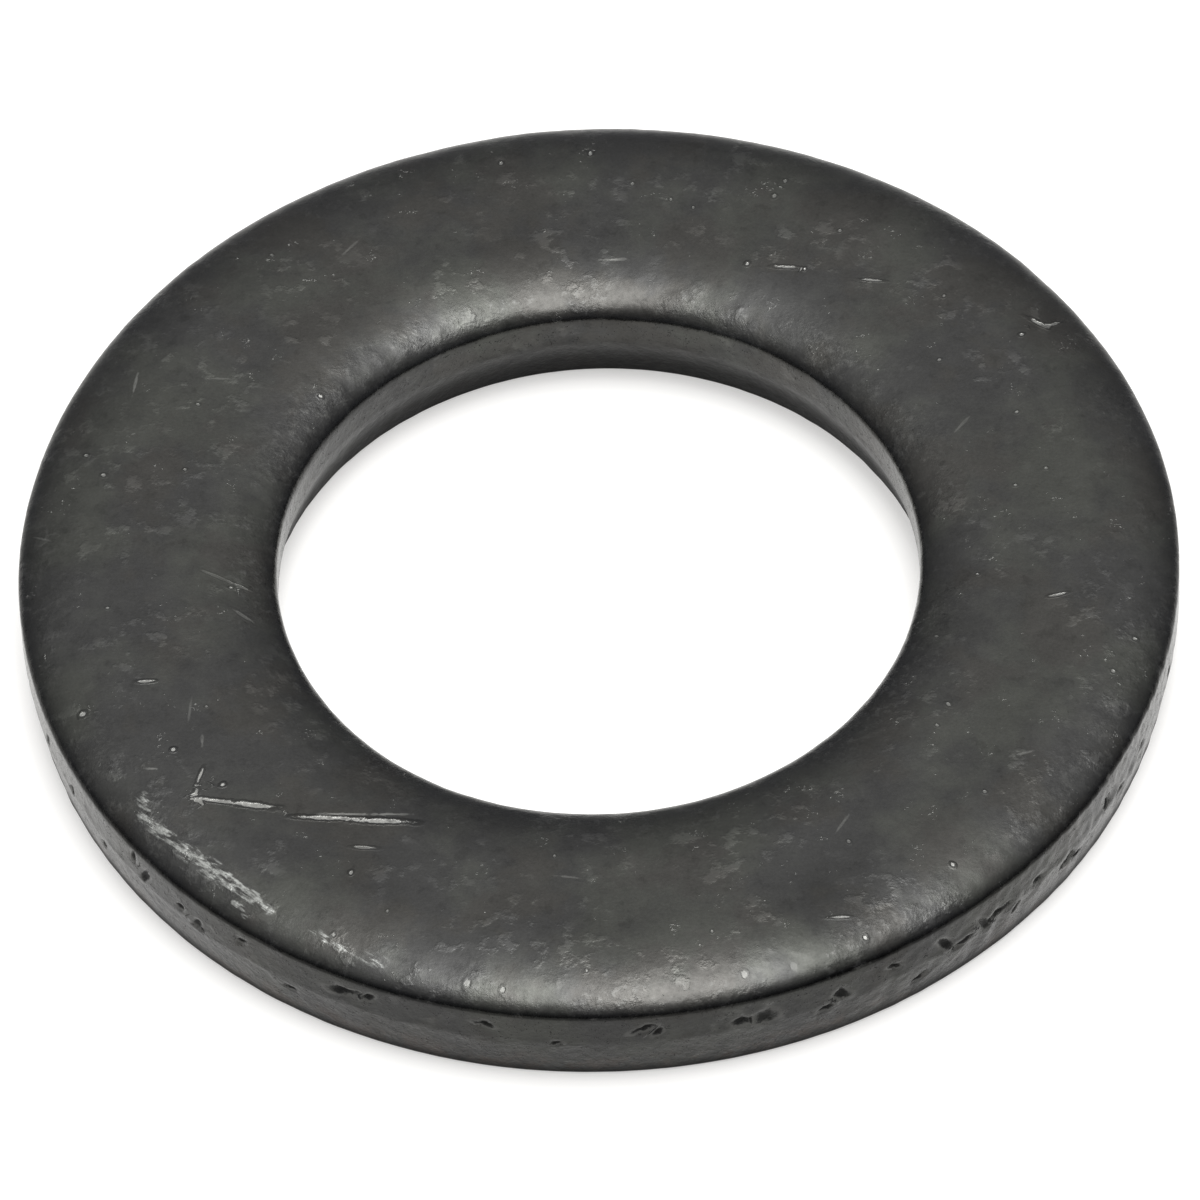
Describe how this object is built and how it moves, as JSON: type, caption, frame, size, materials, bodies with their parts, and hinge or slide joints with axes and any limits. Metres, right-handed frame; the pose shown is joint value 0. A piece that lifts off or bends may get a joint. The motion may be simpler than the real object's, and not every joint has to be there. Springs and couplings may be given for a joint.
{
  "type": "flat washer",
  "caption": "Stamped round flat washer in blackened steel with a plain round bolt hole and rolled upper edges, for an M12 bolt.",
  "frame": {"origin": "centre of the bore in the plane of the underside", "axes": "+Z along the bore axis, out of the upper face, whose edges are rolled; the ring is round, so X and Y are free"},
  "size_m": [0.0238, 0.0238, 0.0025],
  "materials": {
    "black_oxide_steel": "black oxide"
  },
  "bodies": {
    "root": {"washer": "black_oxide_steel"}
  },
  "joints": []
}
